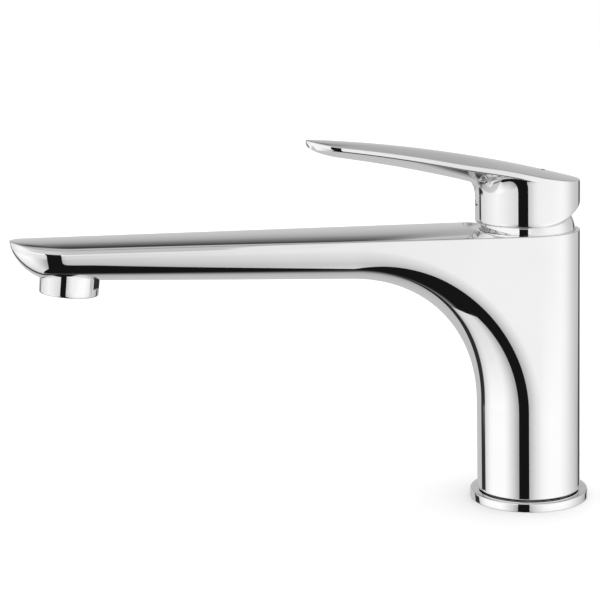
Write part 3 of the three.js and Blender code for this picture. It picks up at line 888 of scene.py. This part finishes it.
def add_camera():
    data = bpy.data.cameras.new("camera")
    data.lens = CAMERA_LENS
    data.sensor_width = 36.0
    camera = bpy.data.objects.new("camera", data)
    bpy.context.scene.collection.objects.link(camera)
    distance, height = CAMERA_PLACE
    camera.location = (TOWARDS * distance + UP * height) * MM
    flat = TOWARDS * math.cos(CAMERA_PAN) + ACROSS * math.sin(CAMERA_PAN)
    ahead = -flat * math.cos(CAMERA_PITCH) - UP * math.sin(CAMERA_PITCH)
    right = ahead.cross(UP).normalized()
    over = right.cross(ahead)
    turned_right = right * math.cos(CAMERA_ROLL) + over * math.sin(CAMERA_ROLL)
    turned_over = over * math.cos(CAMERA_ROLL) - right * math.sin(CAMERA_ROLL)
    rows = [(turned_right[i], turned_over[i], -ahead[i]) for i in range(3)]
    camera.rotation_euler = Matrix(rows).to_euler()
    bpy.context.scene.camera = camera


class Light:
    """Small helpers for the world's nodes. All but connect return an output socket."""

    def __init__(self, world):
        self.nodes = world.node_tree.nodes
        self.links = world.node_tree.links

    def connect(self, socket, value):
        if isinstance(value, (int, float)):
            socket.default_value = value
        else:
            self.links.new(value, socket)

    def math(self, operation, *values):
        node = self.nodes.new("ShaderNodeMath")
        node.operation = operation
        for socket, value in zip(node.inputs, values):
            self.connect(socket, value)
        return node.outputs[0]

    def dot(self, vector, axis):
        node = self.nodes.new("ShaderNodeVectorMath")
        node.operation = "DOT_PRODUCT"
        self.links.new(vector, node.inputs[0])
        node.inputs[1].default_value = axis
        return node.outputs["Value"]

    def ramp(self, value, stops):
        """Tone along a ramp of (value, tone) stops, straight between them."""
        low, high = stops[0][0], stops[-1][0]
        share = self.math("DIVIDE", self.math("SUBTRACT", value, low), high - low)
        node = self.nodes.new("ShaderNodeValToRGB")
        ramp = node.color_ramp
        while len(ramp.elements) < len(stops):
            ramp.elements.new(0.5)
        for element, (place, tone) in zip(ramp.elements, stops):
            element.position = (place - low) / (high - low)
            element.color = (tone, tone, tone, 1)
        self.links.new(share, node.inputs["Fac"])
        return node.outputs["Color"]

    def eased(self, value, none, full):
        """0 at none and beyond it, 1 at full and beyond it, eased between them."""
        node = self.nodes.new("ShaderNodeMapRange")
        node.interpolation_type = "SMOOTHSTEP"
        node.inputs["From Min"].default_value = none
        node.inputs["From Max"].default_value = full
        self.links.new(value, node.inputs["Value"])
        return node.outputs["Result"]

    def above(self, value, level, soft):
        """1 above the level, falling to 0 over the soft width below it."""
        return self.eased(value, level - soft, level)

    def below(self, value, level, soft):
        """1 below the level, falling to 0 over the soft width above it."""
        return self.eased(value, level + soft, level)

    def blend(self, share, a, b):
        """a where share is 0, b where it is 1."""
        keep = self.math("SUBTRACT", 1.0, share)
        return self.math("ADD", self.math("MULTIPLY", keep, a), self.math("MULTIPLY", share, b))


# Tones of the reflectors by the angle round from the camera, in degrees, positive to its right, in
# three rings: in the middle, below LOW_RING and above HIGH_RING.
REFLECTORS = [(-180, 0.5), (-132, 0.5), (-130, 0.03), (-123, 0.03), (-121, 0.7), (-95, 0.85),
              (-70, 0.98), (-50, 0.9), (-22, 0.74), (2, 0.6), (10, 0.73), (16, 0.85), (24, 0.93),
              (50, 0.95), (80, 1.0), (92, 0.94), (113, 0.7), (127, 0.6), (146, 0.55), (148, 0.03),
              (158, 0.03), (160, 0.5), (180, 0.5)]
LOW_REFLECTORS = [(-180, 0.45), (-132, 0.5), (-130, 0.03), (-114, 0.03), (-112, 0.7), (-95, 0.99),
                  (-86, 1.04), (-55, 1.05), (-46, 0.94), (-32, 0.67), (-22, 0.42), (2, 0.48),
                  (9, 0.62), (16, 0.76), (24, 0.87), (29, 0.94), (36, 1.0), (50, 1.05), (74, 1.05),
                  (92, 0.93), (113, 0.72), (127, 0.6), (144, 0.42), (148, 0.03), (158, 0.03),
                  (160, 0.4), (180, 0.4)]
HIGH_REFLECTORS = [(-180, 0.5), (-132, 0.5), (-130, 0.3), (-123, 0.3), (-121, 0.7), (-95, 0.9),
                   (-70, 1.0), (2, 0.95), (10, 0.84), (24, 0.82), (31, 0.85), (50, 0.97), (80, 1.0),
                   (92, 0.94), (113, 0.7), (127, 0.6), (146, 0.55), (148, 0.35), (158, 0.35),
                   (160, 0.5), (180, 0.5)]
LOW_RING = -16
HIGH_RING = 1
# Tones behind the object by elevation, in degrees, between the reflectors' far ends.
BACKDROP = [(-90, 0.4), (-75, 0.45), (-60, 0.5), (-40, 0.55), (-10, 0.55), (1, 0.62), (9, 0.57),
            (17, 0.5), (25, 0.41), (33, 0.22), (42, 0.05), (46, 0.06), (56, 0.4), (66, 0.5), (90, 0.6)]
# The same right of the middle, where it stays pale higher up.
BACKDROP_RIGHT = [(-90, 0.4), (-75, 0.45), (-60, 0.5), (-40, 0.55), (-10, 0.55), (1, 0.6), (7, 0.55),
                  (13, 0.5), (20, 0.46), (32, 0.42), (45, 0.38), (70, 0.5), (90, 0.6)]
# Angles where the reflectors end behind the object, in degrees.
REFLECTOR_ENDS = (-130, 158)
# Share of the reflectors' tones by elevation.
REFLECTOR_HEIGHT = [(-90, 0.7), (-50, 0.75), (-16, 1.0), (16, 1.0), (19, 0.68), (46, 0.62),
                    (50, 0.15), (55, 0.15), (62, 0.6), (90, 0.6)]
# The dark slit between the reflectors. Its sides are given by the part of a direction that goes across
# the view, positive to the right.
SLIT_TONE = 0.008
SLIT_SOFT = 0.008
SLIT_LEFT = -0.33
SLIT_RIGHT = 0.03       # near the camera; it ends further right where a direction turns from it
SLIT_LEAN = 0.09
SLIT_NEAR = 0.8         # part of a direction towards the camera below which it leans that far
SLIT_TOP = 16           # elevation, in degrees
SLIT_FACING = 0.05      # part towards the camera below which it fades out
SLIT_WIDENING = 0.4     # how much further left it starts below a slanting line
SLANT = 0.76            # slope of that line, and its height in the middle
SLANT_HEIGHT = -0.53
# Light on the rough materials, and the white that the camera sees behind the object.
FILL_TONE = 1.7
SURROUND_TONE = 1.0


def reflector_tones(light, angle, elevation):
    around = light.blend(light.below(elevation, LOW_RING, soft=6.0),
                         light.ramp(angle, REFLECTORS), light.ramp(angle, LOW_REFLECTORS))
    around = light.blend(light.above(elevation, HIGH_RING, soft=4.0),
                         around, light.ramp(angle, HIGH_REFLECTORS))
    return light.math("MULTIPLY", around, light.ramp(elevation, REFLECTOR_HEIGHT))


def backdrop_tones(light, across, elevation):
    return light.blend(light.above(across, 0.0, soft=0.04),
                       light.ramp(elevation, BACKDROP), light.ramp(elevation, BACKDROP_RIGHT))


def slit_share(light, towards, across, height, elevation):
    """1 inside the dark slit, 0 outside it."""
    slant = light.math("SUBTRACT", height, light.math("MULTIPLY", across, SLANT))
    widening = light.math("MULTIPLY", light.below(slant, SLANT_HEIGHT, soft=0.015), SLIT_WIDENING)
    left = light.above(light.math("ADD", across, widening), SLIT_LEFT, SLIT_SOFT)
    lean = light.math("MULTIPLY", light.below(towards, SLIT_NEAR, soft=0.12), SLIT_LEAN)
    right = light.below(light.math("SUBTRACT", across, lean), SLIT_RIGHT, SLIT_SOFT)
    facing = light.above(towards, SLIT_FACING, soft=0.45)
    sides = light.math("MULTIPLY", left, right)
    return light.math("MULTIPLY", light.math("MULTIPLY", sides, facing),
                      light.below(elevation, SLIT_TOP, soft=2.0))


def studio_world():
    """Two tall reflectors with a dark slit between them on the camera's side, and a grey backdrop.

    Chrome shows these by direction; the floor and the plastics are lit evenly.
    """
    world = bpy.data.worlds.new("studio")
    bpy.context.scene.world = world
    world.use_nodes = True
    light = Light(world)
    direction = light.nodes.new("ShaderNodeTexCoord").outputs["Generated"]
    towards = light.dot(direction, TOWARDS)
    across = light.dot(direction, ACROSS)
    height = light.dot(direction, UP)
    degree = 180 / math.pi
    angle = light.math("MULTIPLY", light.math("ARCTAN2", across, towards), degree)
    elevation = light.math("MULTIPLY", light.math("ARCSINE", height), degree)

    first, last = REFLECTOR_ENDS
    reflected = light.math("MULTIPLY", light.above(angle, first, soft=1.0),
                           light.below(angle, last, soft=1.0))
    tone = light.blend(reflected, backdrop_tones(light, across, elevation),
                       reflector_tones(light, angle, elevation))
    tone = light.blend(slit_share(light, towards, across, height, elevation), tone, SLIT_TONE)

    path = light.nodes.new("ShaderNodeLightPath")
    tone = light.blend(path.outputs["Is Diffuse Ray"], tone, FILL_TONE)
    tone = light.blend(path.outputs["Is Camera Ray"], tone, SURROUND_TONE)
    background = light.nodes["Background"]
    light.links.new(tone, background.inputs["Color"])


def add_floor():
    """A plain pale floor that takes a soft shadow and doesn't show in the chrome."""
    patch = Patchwork()
    span, cells = 4000.0, 8
    ticks = [mix(-span, span, i / cells) for i in range(cells + 1)]
    patch.grid([[(x, y, 0.0) for x in ticks] for y in ticks])
    floor = patch.object("floor")
    recipe = Recipe("pale_floor", (0.86, 0.86, 0.86), 0.0, 0.6)
    recipe.colour(recipe.noise(3, 2), (0.85, 0.85, 0.85), (0.87, 0.87, 0.87))
    floor.data.materials.append(recipe.material)
    floor.visible_glossy = False


# ---- assembly ----
add_camera()
dress_nodes()

body = casting()
cut_outlet(body)
finish_piece(body, "body", "chrome", "mixer_body")
finish_piece(dome(), "body", "chrome", "dome_cap")
finish_piece(aerator_collar(), "body", "chrome", "aerator_housing")
lever = handle()
cut_plug_seat(lever)
finish_piece(lever, "lever", "chrome", "handle")
finish_piece(index_button(), "lever", "dark_plastic", "index_dot")
finish_piece(screw_plug(), "lever", "white_plastic", "screw_plug")
finish_piece(deck_ring(), "base", "chrome", "base_ring")

studio_world()
add_floor()
scene = bpy.context.scene
scene.view_settings.view_transform = "Standard"
scene.view_settings.look = "None"
